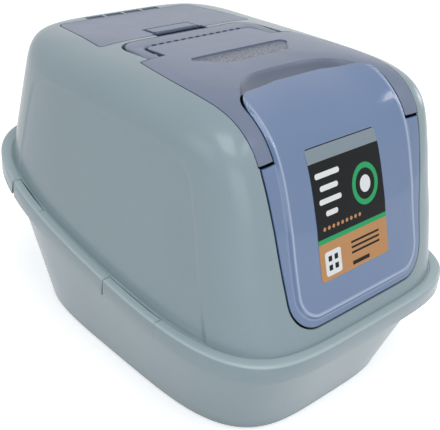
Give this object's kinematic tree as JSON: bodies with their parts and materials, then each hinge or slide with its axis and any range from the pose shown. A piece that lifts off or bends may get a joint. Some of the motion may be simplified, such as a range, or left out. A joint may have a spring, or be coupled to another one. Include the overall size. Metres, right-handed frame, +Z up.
{
  "type": "hooded litter box",
  "caption": "Hooded cat litter box: tapered tray, domed hood with a lifting visor, smoked swing door, flush carry handle, side clips and a lidded filter compartment.",
  "frame": {"origin": "centre of the tray's flat bottom, on the ground", "axes": "+Z up, the door faces -Y, +X to the right seen from behind the box"},
  "size_m": [0.496, 0.657, 0.4724],
  "materials": {
    "tray_plastic": "satin moulded, sage grey",
    "hood_plastic": "satin moulded, sage grey",
    "visor_plastic": "satin moulded, blue grey",
    "lid_plastic": "satin moulded, blue grey",
    "door_plastic": "clear smoked blue, polished",
    "label_paper": "printed",
    "pin_steel": "bright drawn",
    "inner_plastic": "satin moulded, blue grey",
    "filter_foam": "open-cell carbon foam"
  },
  "bodies": {
    "tray": {"tray": "tray_plastic"},
    "hood": {"hood": "hood_plastic", "pin_bosses": "hood_plastic", "handle_pins": "pin_steel", "lid_hinge_rod": "pin_steel", "clip_pins": "pin_steel", "compartment_tub": "inner_plastic", "filter_grille": "inner_plastic", "carbon_filter": "filter_foam", "litter_scoop": "inner_plastic"},
    "visor": {"visor": "visor_plastic", "visor_hinge_ears": "visor_plastic", "door_bearings": "visor_plastic"},
    "door": {"swing_door": "door_plastic", "door_hinge_lugs": "door_plastic", "door_label": "label_paper"},
    "handle": {"carry_handle": "visor_plastic"},
    "lid": {"storage_lid": "lid_plastic", "lid_hinge_eyes": "lid_plastic", "lid_latch": "lid_plastic"},
    "clip_left_front": {"clip_left_front": "hood_plastic"},
    "clip_left_rear": {"clip_left_rear": "hood_plastic"},
    "clip_right_front": {"clip_right_front": "hood_plastic"},
    "clip_right_rear": {"clip_right_rear": "hood_plastic"}
  },
  "joints": [
    {"name": "hood_lift_off", "type": "slide", "parent": "tray", "child": "hood", "axis": [0, 0, 1], "range_m": [0, 0.25]},
    {"name": "visor_lift", "type": "hinge", "parent": "hood", "child": "visor", "pos_m": [0, 0.034, 0.456], "axis": [-1, 0, 0], "range_deg": [0, 48]},
    {"name": "door_swing", "type": "hinge", "parent": "visor", "child": "door", "pos_m": [0, -0.214, 0.418], "axis": [-1, 0, 0], "range_deg": [-24, 24]},
    {"name": "handle_lift", "type": "hinge", "parent": "hood", "child": "handle", "pos_m": [0, 0.034, 0.456], "axis": [1, 0, 0], "range_deg": [0, 70]},
    {"name": "lid_lift", "type": "hinge", "parent": "hood", "child": "lid", "pos_m": [0, 0.252, 0.4484], "axis": [-1, 0, 0], "range_deg": [0, 95]},
    {"name": "clip_left_front_hinge", "type": "hinge", "parent": "hood", "child": "clip_left_front", "pos_m": [-0.23668, -0.09385, 0.17646], "axis": [-0.0128, 0.9969, 0.0772], "range_deg": [0, 50]},
    {"name": "clip_left_rear_hinge", "type": "hinge", "parent": "hood", "child": "clip_left_rear", "pos_m": [-0.23367, 0.16815, 0.22098], "axis": [0.0763, 0.9631, 0.2581], "range_deg": [0, 50]},
    {"name": "clip_right_front_hinge", "type": "hinge", "parent": "hood", "child": "clip_right_front", "pos_m": [0.23668, -0.09385, 0.17646], "axis": [-0.0128, -0.9969, -0.0772], "range_deg": [0, 50]},
    {"name": "clip_right_rear_hinge", "type": "hinge", "parent": "hood", "child": "clip_right_rear", "pos_m": [0.23367, 0.16815, 0.22098], "axis": [0.0763, -0.9631, -0.2581], "range_deg": [0, 50]}
  ]
}
